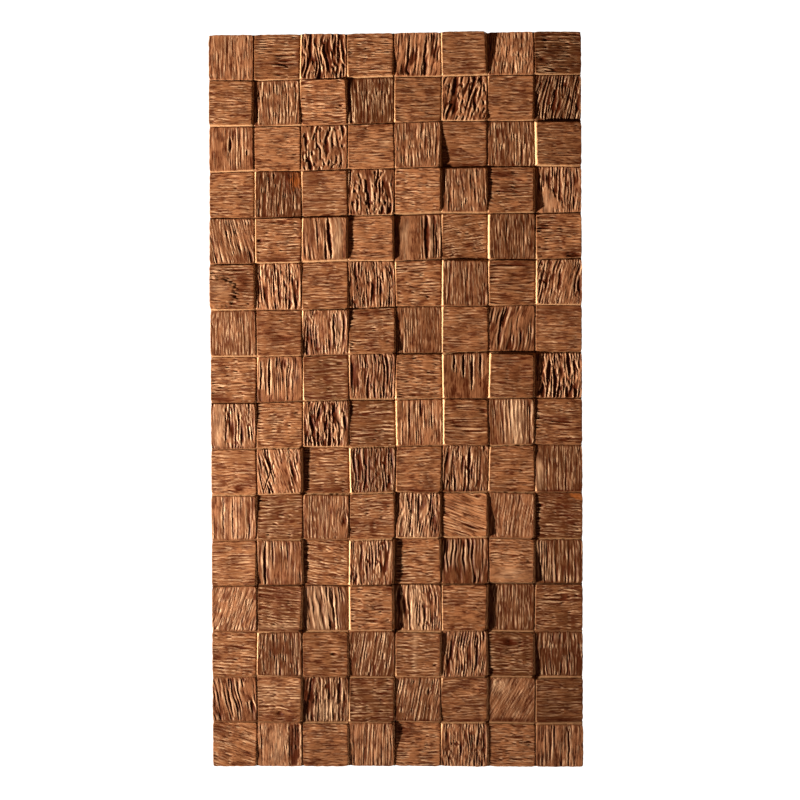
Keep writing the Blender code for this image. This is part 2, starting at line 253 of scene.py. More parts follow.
def lattice_angle(i, j, seed):
    """A direction for each point of a square lattice, the same in every run."""
    mask = np.uint64(0xFFFFFFFF)
    value = (i * np.uint64(374761393) + j * np.uint64(668265263) + np.uint64(seed * 974711 + 12345)) & mask
    value = ((value ^ (value >> np.uint64(13))) * np.uint64(1274126177)) & mask
    value = value ^ (value >> np.uint64(16))
    return value.astype(float) / 2.0**32 * 2 * math.pi


def noise(x, y, seed):
    """Gradient noise from about -1 to 1, with features about one unit apart."""
    x, y = np.broadcast_arrays(x, y)
    i, j = np.floor(x), np.floor(y)
    fx, fy = x - i, y - j
    i = (i + 100000).astype(np.uint64)
    j = (j + 100000).astype(np.uint64)
    blend_x = fx * fx * fx * (fx * (fx * 6 - 15) + 10)
    blend_y = fy * fy * fy * (fy * (fy * 6 - 15) + 10)
    value = np.zeros_like(x)
    for di in (0, 1):
        for dj in (0, 1):
            angle = lattice_angle(i + np.uint64(di), j + np.uint64(dj), seed)
            slope = np.cos(angle) * (fx - di) + np.sin(angle) * (fy - dj)
            value += slope * (blend_x if di else 1 - blend_x) * (blend_y if dj else 1 - blend_y)
    return value * 1.6


def ease(low, high, value):
    share = np.clip((value - low) / (high - low), 0, 1)
    return share * share * (3 - 2 * share)


# Reading the solid

LOW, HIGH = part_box("wall_panel")
PITCH_X = (HIGH.x - LOW.x) / COLUMNS
PITCH_Z = (HIGH.z - LOW.z) / ROWS
BLOCK_X_MM = PITCH_X / MM
BLOCK_Y_MM = PITCH_Z / MM


def front_points():
    """The solid's points that aren't on its back."""
    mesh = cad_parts["wall_panel"].data
    points = np.zeros(len(mesh.vertices) * 3, np.float32)
    mesh.vertices.foreach_get("co", points)
    points = points.reshape(-1, 3).astype(float)
    return points[points[:, 1] < 0.25 * LOW.y]


FRONT_POINTS = front_points()


def stray(swells, over, line):
    """How far the swells carry a line of joints at a crossing."""
    return MM * sum(
        far * math.exp(-(((over / COLUMNS - at_x) / reach_x) ** 2) - ((line / ROWS - at_y) / reach_y) ** 2)
        for at_x, at_y, reach_x, reach_y, far in swells
    )


def grid_place(line, over):
    """The x and z where two lines of joints should cross, counted from the top left corner."""
    x = LOW.x + over * PITCH_X
    z = HIGH.z - line * PITCH_Z
    if 0 < over < COLUMNS:
        x += stray(UPRIGHT_SWELLS, over, line)
    if 0 < line < ROWS:
        z -= stray(LEVEL_SWELLS, over, line)
    return x, z


def read_meeting(line, over):
    """The bottom of the grooves where they meet near a crossing of the grid: x, height from the back, z."""
    x, z = grid_place(line, over)
    off = np.abs(FRONT_POINTS[:, [0, 2]] - (x, z)).max(axis=1)
    near = FRONT_POINTS[off < JOINT_WANDER_MM * MM]
    if not len(near):  # no grooves meet at the panel's own corners
        return x, -LOW.y, z
    low = near[near[:, 1].argmax()]
    return low[0], -low[1], low[2]


MEETINGS = {(line, over): read_meeting(line, over) for line in range(ROWS + 1) for over in range(COLUMNS + 1)}


def corner_place(line, over):
    """Where a corner of the mosaic stands from the front: on the true outline if it is on a side."""
    x, _, z = MEETINGS[line, over]
    true_x, true_z = grid_place(line, over)
    return (true_x if over in (0, COLUMNS) else x), (true_z if line in (0, ROWS) else z)


def read_plane(row, column):
    """A block's plain face: its middle height, and how much higher its right side and its bottom are."""
    heights = {}
    for down in (0, 1):
        for over in (0, 1):
            x, z = corner_place(row + down, column + over)
            inward_x = (FRONT_POINTS[:, 0] - x) * (1 - 2 * over) / MM
            inward_z = (z - FRONT_POINTS[:, 2]) * (1 - 2 * down) / MM
            near = (np.minimum(inward_x, inward_z) > 0.1) & (np.maximum(inward_x, inward_z) < CORNER_REACH_MM)
            heights[down, over] = -FRONT_POINTS[near][:, 1].min()
    lean_x = (heights[0, 1] + heights[1, 1] - heights[0, 0] - heights[1, 0]) / 2
    lean_y = (heights[1, 0] + heights[1, 1] - heights[0, 0] - heights[0, 1]) / 2
    return sum(heights.values()) / 4, lean_x, lean_y


PLANES = {(row, column): read_plane(row, column) for row in range(ROWS) for column in range(COLUMNS)}


# From here on a block is handed over as the pair of its row and its column.

def plane_height(block, s, t):
    """Height of a block's plain face, s across from its left and t down from its top, both 0 to 1."""
    middle, lean_x, lean_y = PLANES[block]
    return middle + (s - 0.5) * lean_x + (t - 0.5) * lean_y


# The sides of a block: the way to the neighbour there, in rows and columns
SIDES = {"left": (0, -1), "right": (0, 1), "top": (-1, 0), "bottom": (1, 0)}
OPPOSITE = {"left": "right", "right": "left", "top": "bottom", "bottom": "top"}
UPRIGHT_SIDES = ("left", "right")


def beyond(block, side):
    """The block on the other side of a joint, and its side there."""
    down, over = SIDES[side]
    return (block[0] + down, block[1] + over), OPPOSITE[side]


def has_neighbour(block, side):
    return beyond(block, side)[0] in PLANES


def along_side(side, s, t):
    """Which of the places s across and t down runs along a side."""
    return t if side in UPRIGHT_SIDES else s


def edge_height(block, side, along):
    """Height of a block's plain face at a side, at places from 0 to 1 along it."""
    places = {"left": (0, along), "right": (1, along), "top": (along, 0), "bottom": (along, 1)}
    return plane_height(block, *places[side])


def groove_height(block, side, along):
    """Height of the bottom of the groove beside a block, at places from 0 to 1 along it."""
    height = edge_height(block, side, along)
    if has_neighbour(block, side):
        height = np.minimum(height, edge_height(*beyond(block, side), along))
    return height - JOINT_DEPTH_MM * MM


def line_ends(block, side):
    """The crossings at the two ends of a side, from the left or the top."""
    line, over = block[0] + (side == "bottom"), block[1] + (side == "right")
    return (line, over), ((line + 1, over) if side in UPRIGHT_SIDES else (line, over + 1))


# The carving of a face

class Face:
    """The carving of one block: its marks, its places, the depth carved so far and the paint's masks."""

    def __init__(self, block, x, y):
        row, column = self.block = block
        self.number = 100 * row + column
        self.seed = self.number + 7
        self.upright = sum(block) % 2 == 0
        self.grain = GRAINS[GRAIN_MAP[row][column]]
        self.lean = LEANS.get(self.number, 0.0)
        marks = [mark.split() for mark in MARKS.get(self.number, "").split(", ") if mark]
        self.marks = [(kind, [float(size) for size in sizes]) for kind, *sizes in marks]
        self.x, self.y = x, y
        self.across, self.along = (x, y) if self.upright else (y, x)
        wave = noise(self.along / 45, self.across / 38, self.seed + 1)
        small_wave = noise(self.along / 13, self.across / 11, self.seed + 2)
        self.fibre_at = self.across - self.lean * (self.along - BLOCK_X_MM / 2)
        self.fibre_at += self.grain.sway * (wave + 0.22 * small_wave)
        self.carved = np.zeros_like(x)  # depth taken away
        self.form = np.zeros_like(x)  # broad rise or fall of the face
        self.strength = np.ones_like(x)  # how much of the grain is left
        # Masks of stains, of soot and painted shadow, and of pale patches that are partly painted highlight
        self.stain, self.soot, self.pale = (np.zeros_like(x) for _ in range(3))

    def noise(self, x, y, layer):
        return noise(x, y, self.seed + layer)

    def blob(self, x, y, radius_x, radius_y, ragged=0.25):
        """A soft round mask with a ragged edge, from 0 to 1."""
        far = np.hypot((self.x - x) / radius_x, (self.y - y) / radius_y)
        return 1 - ease(0.75, 1.15, far * (1 + ragged * self.noise(self.x / 6, self.y / 6, 31)))

    def cut(self, x, y, length, width, lean, crosswise):
        """How deep inside a lens-shaped cut each place is, from 0 at its edge to 1 in its middle."""
        across_at, along_at = (x, y) if self.upright else (y, x)
        across, along = self.across - across_at, self.along - along_at
        if crosswise:
            across, along = along, across
        across = across - lean * along + 0.9 * self.noise(along / 9, 0.5, 20 + round(x + y))
        half = width / 2 * np.clip(1 - (2 * along / length) ** 2, 0, 1)
        return np.clip(1 - np.abs(across) / np.maximum(half, 1e-6), 0, 1) * (half > 0.05)


def carve_grain(face):
    """The fibres, long grooves, pits and nets of ridges of a face."""
    grain = face.grain
    long, thin, deepened = (2.0, 1.0, 1.0) if face.upright else (1.5, 0.8, 1.3)
    long = grain.length * long
    at, along = face.fibre_at, face.along

    def streaks(across_mm, along_mm, layer):
        return face.noise(at / across_mm, along / along_mm, layer)

    jag = at + (0.35 if grain.net else 0.12) * face.noise(along / 3.5, at / 2.0, 9)
    # Fine fibres
    fine = streaks(2.1 * thin, 30 * long, 3)
    fine += 0.6 * streaks(1.05 * thin, 16 * long, 13)
    worn = 0.45 + 0.55 * ease(-0.35, 0.35, streaks(15, 26, 19))
    depth = grain.fibre * thin * (0.6 - 0.6 * fine) * (0.5 + 0.5 * worn)
    # Long grooves, in two layers
    for layer, gap in ((4, grain.groove), (14, 0.62 * grain.groove)):
        line = np.abs(face.noise(jag / gap, along / (60 * long), layer))
        width = thin * (0.28 + 0.14 * streaks(9, 20, layer + 1))
        there = ease(-0.35, 0.45, streaks(2.2 * gap, 24 * long, layer + 2))
        there = there * worn * (1 if layer == 4 else 0.6)
        depth += grain.groove_depth * there * np.clip(1 - line / width, 0, 1) ** 0.8
    if grain.pit_depth:
        pits = face.noise(jag / 1.9, along / (8.0 * long), 8)
        where = 0.25 + 0.75 * ease(-0.4, 0.4, streaks(12, 18, 18))
        depth += grain.pit_depth * where * ease(0.34, 0.72, pits)
    if grain.net:  # thin ridges round hollows
        wide = jag + 2.2 * streaks(16, 50, 25)
        line = np.abs(face.noise(wide / grain.net, along / (48 * long), 5))
        second = np.abs(face.noise(wide / (0.55 * grain.net), along / (40 * long), 26))
        mixed = ease(-0.15, 0.35, streaks(14, 30, 27))
        line = line * (1 - mixed) + np.minimum(line, 0.85 * second) * mixed
        hollow = np.clip((line - grain.ridge) / 0.40, 0, 1) ** 0.8
        broken = ease(0.25, 0.5, streaks(5.5, 10, 6))
        deep = np.clip(0.80 + 0.7 * streaks(9, 24, 7), 0.25, 1.2)
        depth = 0.45 * depth + grain.net_depth * deep * np.maximum(hollow, 0.7 * broken)
    face.carved += deepened * depth * face.strength


def carve_mark(face, kind, *sizes):
    """One mark on a face. The kind smooth isn't carved: it has already taken away some of the grain."""
    if kind in ("split", "slash", "crack"):
        x, y, length, width, depth = sizes
        lean = {"split": face.lean, "slash": -0.4, "crack": 0.0}[kind]
        inside = face.cut(x, y, length, width, lean, kind == "crack")
        face.carved = np.maximum(face.carved, face.carved * 0.5 + depth * ease(0.0, 0.75, inside))
    elif kind == "knot":
        x, y, radius, depth = sizes
        far = np.hypot(face.x - x, face.y - y) / radius
        rings = 0.5 + 0.5 * np.cos(far * 5.0 + 2 * face.noise(face.x / 5, face.y / 5, 33))
        face.carved = face.carved + depth * np.exp(-1.4 * far**2) + 0.45 * rings * np.exp(-((far / 1.9) ** 2))
    elif kind == "ledge":
        at, lean, drop = sizes
        past = face.across - at - lean * (face.along - BLOCK_X_MM / 2)
        past += 1.3 * face.noise(face.along / 5.0, 3.5, 35 + round(at))
        face.form -= drop * ease(-0.6, 0.9, past) * (1 - 0.6 * ease(4, 26, past))
    elif kind == "break":
        at, drop = sizes
        past = face.along - at + 5.0 * face.noise(face.across / 7.0, 1.5, 37)
        face.form -= drop * ease(-0.8, 0.8, past) * (1 - 0.5 * ease(4, 30, past))
    elif kind != "smooth":
        x, y, radius_x, radius_y, amount = sizes
        if kind == "dent":
            face.carved += amount * face.blob(x, y, radius_x, radius_y)
        elif kind == "flake":
            face.form += amount * face.blob(x, y, radius_x, radius_y, 0.22)
        elif kind == "stain":
            face.stain = np.maximum(face.stain, amount * face.blob(x, y, radius_x, radius_y, 0.5))
        else:
            # Darkening marks hold both soot and painted shadow; pale marks, both worn paint and painted
            # highlight
            soft = np.exp(-((face.x - x) / radius_x) ** 2 - ((face.y - y) / radius_y) ** 2)
            mask = {"soot": face.soot, "pale": face.pale}[kind]
            mask += 1.5 * amount * soft * (0.8 + 0.5 * face.noise(face.fibre_at / 3, face.along / 20, 38))


def carve_bruises(face):
    """A few bruises along the rim of a block."""
    chance = random.Random(face.seed)
    for _ in range(chance.randint(2, 4)):
        side = chance.choice(sorted(SIDES))
        at, out = chance.uniform(4, BLOCK_X_MM - 4), chance.uniform(-1.0, 0.6)
        x = {"left": out, "right": BLOCK_X_MM - out}.get(side, at)
        y = {"top": out, "bottom": BLOCK_Y_MM - out}.get(side, at)
        radius_x, radius_y = chance.uniform(1.2, 3.2), chance.uniform(1.2, 3.2)
        face.carved += chance.uniform(0.4, 1.3) * face.blob(x, y, radius_x, radius_y)


def carve_face(block, x, y):
    face = Face(block, x, y)
    for kind, sizes in face.marks:
        if kind == "knot":  # the grain runs round it
            at_x, at_y, radius, _ = sizes
            across, along = (at_x, at_y) if face.upright else (at_y, at_x)
            off = face.across - across
            near = np.exp(-((off / (2.2 * radius)) ** 2) - ((face.along - along) / (3.2 * radius)) ** 2)
            face.fibre_at -= off * near * 0.75
        if kind == "smooth":
            at_x, at_y, radius_x, radius_y, share = sizes
            face.strength *= 1 - share * face.blob(at_x, at_y, radius_x, radius_y, 0.35)
    carve_grain(face)
    for kind, sizes in face.marks:
        carve_mark(face, kind, *sizes)
    carve_bruises(face)
    for wave, height, layer in ((34, 0.8, 41), (15, 0.3, 42)):
        face.form += height * face.noise(face.x / wave, face.y / wave, layer)
    return face


# The mesh of one section

# What the paint reads at each point: the place in the grain in millimetres with a number for the block, then
# how deep, how proud and how near the rim it is, and then how stained, how much a wall, and the block's tone
FIELDS = 9
FIBRE, ALONG, BLOCK, DEPTH, CREST, EDGE, STAIN, WALL, TONE = range(FIELDS)
LEVEL_SHIFT = 10.0  # added to the tone of a block with level grain, by which the paint tells it


class Sheet:
    """Gathers the points and faces of a section. A face is kept by the way it looks, for its unwrapping."""

    def __init__(self):
        self.points = []
        self.paint = []
        self.count = 0
        self.faces = {way: [] for way in ("front", *SIDES, "back")}

    def add_points(self, points, paint):
        points = np.asarray(points, float).reshape(-1, 3)
        self.points.append(points)
        self.paint.append(np.broadcast_to(paint, (len(points), FIELDS)))
        self.count += len(points)
        return np.arange(self.count - len(points), self.count)

    def add_faces(self, faces, way="front"):
        self.faces[way].append(np.asarray(faces, np.int64))


def face_lines(cells, length_mm):
    """Places from 0 to 1 of the grid lines across a face, close together at the rim."""
    rim = np.array(RIM_LINES_MM) / length_mm
    inner = np.linspace(rim[-1], 1 - rim[-1], cells + 3 - 2 * len(rim))[1:-1]
    return np.concatenate([rim, inner, 1 - rim[::-1]])


def local_mean(grid, cells, axis):
    kernel = np.ones(cells) / cells
    padded = np.pad(grid, [(cells // 2, cells // 2) if a == axis else (0, 0) for a in (0, 1)], "edge")
    return np.apply_along_axis(np.convolve, axis, padded, kernel, "valid")


def rim_inset(block, side, along):
    """How far a rim is held back from the line of its groove."""
    depth = edge_height(block, side, along) - groove_height(block, side, along)
    if has_neighbour(block, side):
        return JOINT_HALF_WIDTH_MM * MM + WALL_DRAFT * depth
    return SIDE_DRAFT * depth + SIDE_INSET_MM * MM


def bareness(block, side, along):
    """How bare the paint is worn at a rim or wall, from 0 to 1: more where it stands above its neighbour."""
    if not has_neighbour(block, side):
        return np.ones_like(along)
    step = edge_height(block, side, along) - edge_height(*beyond(block, side), along)
    base, more = (0.25, 0.75) if side in UPRIGHT_SIDES else (0.06, 0.35)
    return base + more * ease(0.0, BARE_STEP_MM, step / MM)


def worn_edge(block, s, t):
    """The mask of the worn rims of a face."""
    x, y = BLOCK_X_MM, BLOCK_Y_MM
    off = {"left": s * x, "right": (1 - s) * x, "top": t * y, "bottom": (1 - t) * y}
    return np.maximum.reduce([
        np.exp(-off[side] / BARE_REACH_MM) * bareness(block, side, along_side(side, s, t))
        for side in SIDES
    ])


def block_tone(face):
    """How light a block's paint is: its own where it stands out (the bottom row's as painted light), else by
    chance.
    """
    usual = random.Random(face.seed + 5).uniform(0.3, 0.7)
    return next((tone for tone, blocks in TONED_BLOCKS.items() if face.number in blocks), usual)


def paint_face(face, carved, s, t):
    """What the paint reads at each point of a block's face."""
    around = local_mean(-carved, MEAN_CELLS, 1 if face.upright else 0)
    proud = (-carved - around) / max(np.std(carved + around), 0.12)
    hollow = np.maximum(face.grain.contrast * ease(0.1, 1.9, -proud), ease(0.6, 1.7, carved))
    # The glaze takes in the darkening marks, soot and painted shadow, and is lessened under the pale marks
    hollow = np.maximum(hollow, face.soot) * (1 - 0.7 * np.clip(face.pale, 0, 1))
    paint = np.zeros(s.shape + (FIELDS,))
    paint[..., FIBRE] = face.fibre_at
    paint[..., ALONG] = face.along
    paint[..., BLOCK] = face.seed
    paint[..., DEPTH] = np.clip(hollow, 0, 1)
    # The ridges' lightening is light worn paint and painted highlight, most on proud ridges and under pale
    # marks
    paint[..., CREST] = np.clip(face.grain.contrast**1.5 * ease(0.1, 1.4, proud) + 0.7 * face.pale, 0, 1)
    paint[..., EDGE] = worn_edge(face.block, s, t)
    paint[..., STAIN] = face.stain
    paint[..., TONE] = block_tone(face) + (0.0 if face.upright else LEVEL_SHIFT)
    return paint


def face_grid(sheet, block):
    """The carved face of one block. Returns for each side its rim: places along it and point numbers."""
    upright = sum(block) % 2 == 0
    lines_x = face_lines(CELLS_ACROSS if upright else CELLS_ALONG, BLOCK_X_MM)
    lines_y = face_lines(CELLS_ALONG if upright else CELLS_ACROSS, BLOCK_Y_MM)
    t, s = np.meshgrid(lines_y, lines_x, indexing="ij")
    x_mm, y_mm = s * BLOCK_X_MM, t * BLOCK_Y_MM
    face = carve_face(block, x_mm, y_mm)
    near = np.minimum.reduce([x_mm, y_mm, BLOCK_X_MM - x_mm, BLOCK_Y_MM - y_mm])
    rim_drop = RIM_RADIUS_MM * (1 - np.sqrt(1 - np.clip(1 - near / RIM_RADIUS_MM, 0, 1) ** 2))
    near_side = np.minimum(face.across, BLOCK_X_MM - face.across)
    near_end = np.minimum(face.along, BLOCK_Y_MM - face.along)
    end_share = 0.7 if face.grain.net else 0.35
    carved = face.carved * (0.25 + 0.75 * ease(0.0, SIDE_FADE_MM, near_side))
    carved = carved * (end_share + (1 - end_share) * ease(0.0, END_FADE_MM, near_end))
    height = plane_height(block, s, t) + MM * (face.form - carved - rim_drop)
    floors = [groove_height(block, side, along_side(side, s, t)) for side in SIDES]
    height = np.maximum(height, np.minimum.reduce(floors) + LEAST_RISE_MM * MM)

    left, right, top, bottom = (rim_inset(block, side, along_side(side, s, t)) for side in SIDES)
    wander = RIM_WANDER_MM * MM * np.exp(-near / WANDER_REACH_MM)
    in_x = 0.5 + (s - 0.5) * (1 - CORNER_ROUNDING * np.abs(2 * t - 1) ** 12)
    in_z = 0.5 + (t - 0.5) * (1 - CORNER_ROUNDING * np.abs(2 * s - 1) ** 12)
    across = (left + in_x * (PITCH_X - left - right) + wander * face.noise(y_mm / 9, x_mm / 40, 51)) / PITCH_X
    down = (top + in_z * (PITCH_Z - top - bottom) + wander * face.noise(x_mm / 9, y_mm / 40, 52)) / PITCH_Z
    upper, lower = (
        [a * (1 - across) + b * across for a, b in zip(*(corner_place(*at) for at in line_ends(block, side)))]
        for side in ("top", "bottom")
    )
    x, z = (a * (1 - down) + b * down for a, b in zip(upper, lower))
    paint = paint_face(face, carved, s, t)
    numbers = sheet.add_points(np.stack([x, -height, z], axis=-1), paint.reshape(-1, FIELDS)).reshape(s.shape)
    quads = np.stack([numbers[:-1, :-1], numbers[1:, :-1], numbers[1:, 1:], numbers[:-1, 1:]], axis=-1)
    sheet.add_faces(quads.reshape(-1, 4))
    return {
        "left": (lines_y, numbers[:, 0]),
        "right": (lines_y, numbers[:, -1]),
        "top": (lines_x, numbers[0, :]),
        "bottom": (lines_x, numbers[-1, :]),
    }


def loft(sheet, upper, lower, flip):
    """Triangles between two chains of unlike counts. A chain is places from 0 to 1 and point numbers."""
    (places_a, points_a), (places_b, points_b) = upper, lower
    faces = []
    i = j = 0
    while i < len(points_a) - 1 or j < len(points_b) - 1:
        if j == len(points_b) - 1 or (i < len(points_a) - 1 and places_a[i + 1] <= places_b[j + 1]):
            faces.append((points_a[i], points_b[j], points_a[i + 1]))
            i += 1
        else:
            faces.append((points_a[i], points_b[j], points_b[j + 1]))
            j += 1
    faces = np.array(faces)
    sheet.add_faces(faces[:, ::-1] if flip else faces)


def groove_points(block, side):
    """Points along the bottom of a groove, from one meeting point to the next."""
    start, end = line_ends(block, side)
    places = np.linspace(0, 1, GROOVE_CELLS + 1)
    (x0, h0, z0), (x1, h1, z1) = MEETINGS[start], MEETINGS[end]
    inner = np.clip(np.minimum(places, 1 - places) / GROOVE_END, 0, 1)
    height = np.where(places < 0.5, h0, h1) * (1 - inner) + groove_height(block, side, places) * inner
    wander = GROOVE_WANDER_MM * MM * noise(places * 14, start[0] * 31 + start[1] * 7 + 0.5, 900) * inner
    x, z = x0 * (1 - places) + x1 * places, z0 * (1 - places) + z1 * places
    if side in UPRIGHT_SIDES:
        x = x + wander
    else:
        z = z + wander
    return places, np.stack([x, -height, z], axis=-1)


def section_sheet(rows, columns):
    """One closed section of the panel: carved faces, grooves, the section's sides and its back."""
    sheet = Sheet()
    crossings, grooves, rims = {}, {}, {}
    for row in rows:
        for column in columns:
            block = row, column
            for side, rim in face_grid(sheet, block).items():
                rims[block, side] = rim
    paint_so_far = np.concatenate(sheet.paint)

    def crossing(key):
        if key not in crossings:
            x, height, z = MEETINGS[key]
            paint = np.zeros(FIELDS)
            paint[WALL], paint[DEPTH] = 1, 1
            crossings[key] = sheet.add_points([(x, -height, z)], paint)[0]
        return crossings[key]

    for (block, side), (places, numbers) in rims.items():
        if not has_neighbour(block, side):
            continue
        ends = line_ends(block, side)
        if ends not in grooves:
            groove_places, line = groove_points(block, side)
            pick = numbers[np.linspace(0, len(numbers) - 1, len(line) - 2).round().astype(int)]
            paint = paint_so_far[pick]
            paint[:, [CREST, STAIN]] = 0
            paint[:, WALL], paint[:, DEPTH] = 1, 1
            walls = (block, side), beyond(block, side)
            paint[:, EDGE] = np.maximum(*(bareness(*wall, groove_places) for wall in walls))[1:-1]
            inner = sheet.add_points(line[1:-1], paint)
            grooves[ends] = (groove_places, np.array([crossing(ends[0]), *inner, crossing(ends[1])]))
        loft(sheet, (places, numbers), grooves[ends], side in ("right", "top"))
    close_section(sheet, rows, columns, rims, grooves, crossing)
    return sheet


def outline_of(rows, columns, rims, grooves, crossing):
    """The section's outline, once round it: for each point its number, its side and whether it is outside."""
    ring = []
    for side, blocks in (
        ("left", [(row, columns[0]) for row in rows]),
        ("bottom", [(rows[-1], column) for column in columns]),
        ("right", [(row, columns[-1]) for row in rows][::-1]),
        ("top", [(rows[0], column) for column in columns][::-1]),
    ):
        for block in blocks:
            start, end = line_ends(block, side)
            if has_neighbour(block, side):
                chain = [(number, side, False) for number in grooves[start, end][1]]
            else:
                chain = [(number, side, True) for number in rims[block, side][1]]
                for key, at in ((start, 0), (end, len(chain) + 1)):
                    if not (key[0] in (0, ROWS) and key[1] in (0, COLUMNS)):
                        chain.insert(at, (crossing(key), side, True))
            ring.extend(chain if side in ("left", "bottom") else chain[::-1])
    return [entry for entry, before in zip(ring, ring[-1:] + ring[:-1]) if entry[0] != before[0]]


def close_section(sheet, rows, columns, rims, grooves, crossing):
    """Walls from the section's outline down to the back, and the back itself."""
    ring = outline_of(rows, columns, rims, grooves, crossing)
    numbers, sides, outside = (np.array(part) for part in zip(*ring))
    points = np.concatenate(sheet.points)[numbers]
    paint = np.concatenate(sheet.paint)[numbers]
    paint[:, [CREST, EDGE, STAIN, DEPTH]] = 0
    paint[:, WALL] = 1
    foot = np.array(points)
    foot[:, 1] = 0
    out = np.zeros((len(ring), 3))
    for axis, limit, sign in ((0, LOW.x, -1), (0, HIGH.x, 1), (2, HIGH.z, 1), (2, LOW.z, -1)):
        close = outside & (np.abs(points[:, axis] - limit) < OUTLINE_REACH_MM * MM)
        foot[close, axis] = limit
        out[close, axis] = sign
    corner = np.abs(out).sum(axis=1) > 1
    foot[corner] -= out[corner] * FOOT_CHAMFER_MM * MM
    before = numbers
    after_side = np.roll(sides, -1)
    for share in SIDE_LEVELS + (1.0,):
        level = points * (1 - share) + foot * share
        if share < 1:
            rough = noise(points[:, 0] * 90 + 40, points[:, 2] * 90 + share * 7 + 40, 611)
            level = level - out * (SIDE_DIP_MM + SIDE_WANDER_MM * rough)[:, None] * MM
        current = sheet.add_points(level, paint)
        quads = np.stack([before, current, np.roll(current, -1), np.roll(before, -1)], axis=-1)
        for side in SIDES:
            sheet.add_faces(quads[after_side == side], side)
        before = current
    middle = sheet.add_points([foot.mean(axis=0)], paint[0])
    fan = np.stack([np.roll(before, -1), before, np.full(len(before), middle[0])], axis=-1)
    sheet.add_faces(fan, "back")


# The map, on which each way that a face looks has its own part
MARGIN = 0.003
FRONT_SHARE = 0.90
STRIP = 0.038  # width of the strip of a side
STRIP_STARTS = {"left": 0.912, "right": 0.955, "bottom": 0.912, "top": 0.955}
BACK_START, BACK_SHARE = 0.912, 0.083


def unwrap(way, x, depth, z):
    """Places on the map for points given as shares of the section's width, thickness and height."""
    if way == "back":
        return BACK_START + BACK_SHARE * x, BACK_START + BACK_SHARE * z
    u, v = MARGIN + FRONT_SHARE * x, MARGIN + FRONT_SHARE * z
    if way == "front":
        return u, v
    strip = STRIP_STARTS[way] + STRIP * depth
    return (strip, v) if way in UPRIGHT_SIDES else (u, strip)


def plain_paint(way, points):
    """Paint for the sides and the back, with the grain along each side and up the back."""
    across, along = {"left": (1, 2), "right": (1, 2), "back": (0, 2)}.get(way, (1, 0))
    paint = np.zeros((len(points), FIELDS))
    paint[:, FIBRE], paint[:, ALONG] = points[:, across] / MM, points[:, along] / MM
    paint[:, BLOCK] = 5  # unlike that of any block
    paint[:, DEPTH], paint[:, TONE] = (0.35, 0.2) if way == "back" else (0.15, 0.5)
    return paint


def make_section(name, rows, columns):
    """A section as an object on the root body, shown where the solid is, which is hidden."""
    sheet = section_sheet(rows, columns)
    points = np.concatenate(sheet.points)
    paint = np.concatenate(sheet.paint)
    share = (points - points.min(axis=0)) / (points.max(axis=0) - points.min(axis=0))
    loops, starts, maps, finishes, backs = [], [], [], [], []
    at = 0
    for way, groups in sheet.faces.items():
        for group in groups:
            flat = group.reshape(-1)
            loops.append(flat)
            starts.append(at + np.arange(len(group)) * group.shape[1])
            at += len(flat)
            maps.append(np.stack(unwrap(way, *share[flat].T), axis=-1))
            finishes.append(paint[flat] if way == "front" else plain_paint(way, points[flat]))
            backs.append(np.full(len(group), way == "back"))
    loops, starts = np.concatenate(loops), np.concatenate(starts)
    mesh = bpy.data.meshes.new(name)
    for items, field, values in (
        (mesh.vertices, "co", points.astype(np.float32)),
        (mesh.loops, "vertex_index", loops.astype(np.int32)),
        (mesh.polygons, "loop_start", starts.astype(np.int32)),
    ):
        items.add(len(values))
        items.foreach_set(field, values.ravel())
    mesh.polygons.foreach_set("use_smooth", ~np.concatenate(backs))
    uv = mesh.uv_layers.new(name="OFBake")
    uv.data.foreach_set("uv", np.concatenate(maps).astype(np.float32).ravel())
    finishes = np.concatenate(finishes)
    for label, fields in (
        ("grain_place", (FIBRE, ALONG, BLOCK)),
        ("relief", (DEPTH, CREST, EDGE)),
        ("finish", (STAIN, WALL, TONE)),
    ):
        values = mesh.attributes.new(label, "FLOAT_VECTOR", "CORNER")
        values.data.foreach_set("vector", finishes[:, fields].astype(np.float32).ravel())
    mesh.update(calc_edges=True)
    mesh.materials.append(PAINT)
    section = bpy.data.objects.new(name, mesh)
    bpy.context.scene.collection.objects.link(section)
    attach(section, "root")
    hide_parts("wall_panel")


# Paint

# Colours of the paint, as linear red, green and blue
UPRIGHT_BROWNS = ((0.102, 0.040, 0.015), (0.342, 0.158, 0.080))
LEVEL_BROWNS = ((0.104, 0.042, 0.015), (0.332, 0.152, 0.071))
DARK_GLAZE = (0.058, 0.010, 0.001)
# Light worn paint on the ridges, which serves also as their painted highlight
RUBBED_PAINT_AND_HIGHLIGHT = (0.70, 0.47, 0.30)
BARE_EDGE = (0.80, 0.50, 0.28)
STAIN_BROWN = (0.42, 0.13, 0.025)


